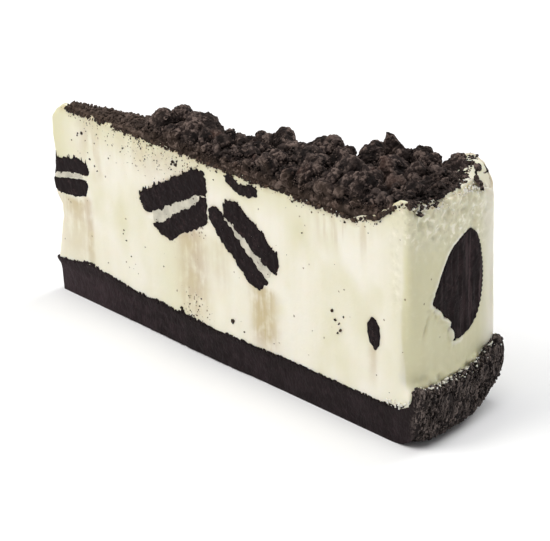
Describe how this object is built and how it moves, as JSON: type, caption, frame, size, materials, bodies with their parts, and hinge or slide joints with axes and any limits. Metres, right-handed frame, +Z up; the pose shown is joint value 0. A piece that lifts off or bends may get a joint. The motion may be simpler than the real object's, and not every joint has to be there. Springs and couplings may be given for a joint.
{
  "type": "cookie cheesecake slice",
  "caption": "Narrow wedge of cookies-and-cream cheesecake: dark crumb crust with a lip at the rim, pale filling with cut sandwich cookies, crushed-cookie top.",
  "frame": {"origin": "on the table, under the middle of the slice's box", "axes": "+X along the slice from its tip to its rim, +Y across it, +Z up"},
  "size_m": [0.1188, 0.0288, 0.0582],
  "materials": {
    "cream_cheese": "soft and slightly moist, pale ivory with tan smears",
    "crust_crumb": "pressed cookie crumbs, very dark brown",
    "topping_crumb": "loose cookie crumbs, dark brown",
    "wafer": "baked dark cocoa wafer, matt",
    "sandwich_cream": "firm pale cookie cream"
  },
  "bodies": {
    "root": {"cream_cheese_filling": "cream_cheese", "crumb_crust": "crust_crumb", "crumb_topping": "topping_crumb", "tip_cookie_upper_wafer": "wafer", "tip_cookie_lower_wafer": "wafer", "middle_cookie_upper_wafer": "wafer", "middle_cookie_lower_wafer": "wafer", "steep_cookie_upper_wafer": "wafer", "steep_cookie_lower_wafer": "wafer", "top_shard": "wafer", "low_shard": "wafer", "rim_wafer": "wafer", "far_cookie_upper_wafer": "wafer", "far_cookie_lower_wafer": "wafer", "far_wafer_bar": "wafer", "far_shard": "wafer", "tip_cookie_cream": "sandwich_cream", "middle_cookie_cream": "sandwich_cream", "steep_cookie_cream": "sandwich_cream", "far_cookie_cream": "sandwich_cream"}
  },
  "joints": []
}
